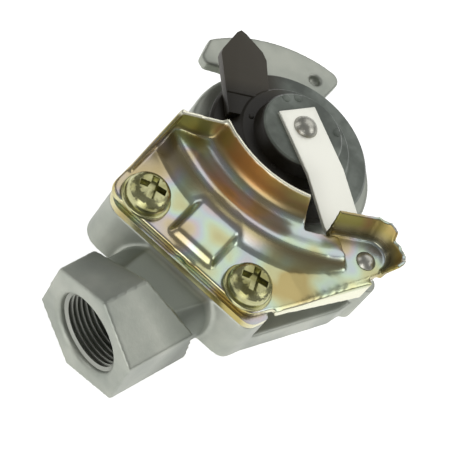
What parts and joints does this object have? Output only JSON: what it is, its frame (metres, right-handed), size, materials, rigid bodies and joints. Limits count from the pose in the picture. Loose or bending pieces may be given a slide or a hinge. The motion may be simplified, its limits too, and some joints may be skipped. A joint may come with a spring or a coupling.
{
  "type": "gladhand air brake coupler",
  "caption": "Palm type air brake coupling head: cast body with a hexagonal threaded port, pressed claw plate, face seal and a swinging dust cap on a spring strip.",
  "frame": {"origin": "where the coupling axis meets the plane of the face seal's lip", "axes": "+Z is the outward normal of the coupling face, +X points away from the port along the claw plate, +Y to the left"},
  "size_m": [0.1337, 0.0822, 0.0495],
  "materials": {
    "cast_alloy": "blasted casting with machined port",
    "passivated_steel": "zinc with yellow iridescent passivate",
    "bright_steel": "bright strip",
    "rivet_steel": "plain",
    "cap_plastic": "moulded black",
    "seal_rubber": "moulded black"
  },
  "bodies": {
    "head": {"body": "cast_alloy", "riser": "cast_alloy", "chamber": "cast_alloy", "base_plate": "passivated_steel", "claw_plate": "passivated_steel", "plate_screws": "passivated_steel", "screw_washers": "passivated_steel", "face_seal": "seal_rubber", "pivot_rivet": "rivet_steel", "pivot_washer": "rivet_steel"},
    "cover": {"dust_cap": "cap_plastic", "cover_spring": "bright_steel", "cap_rivet": "rivet_steel", "cap_rivet_washer": "rivet_steel"}
  },
  "joints": [
    {"name": "cover_swing", "type": "hinge", "parent": "head", "child": "cover", "pos_m": [-0.02191, -0.03618, 0.0097], "axis": [0, 0, -1], "range_deg": [0, 100]}
  ]
}
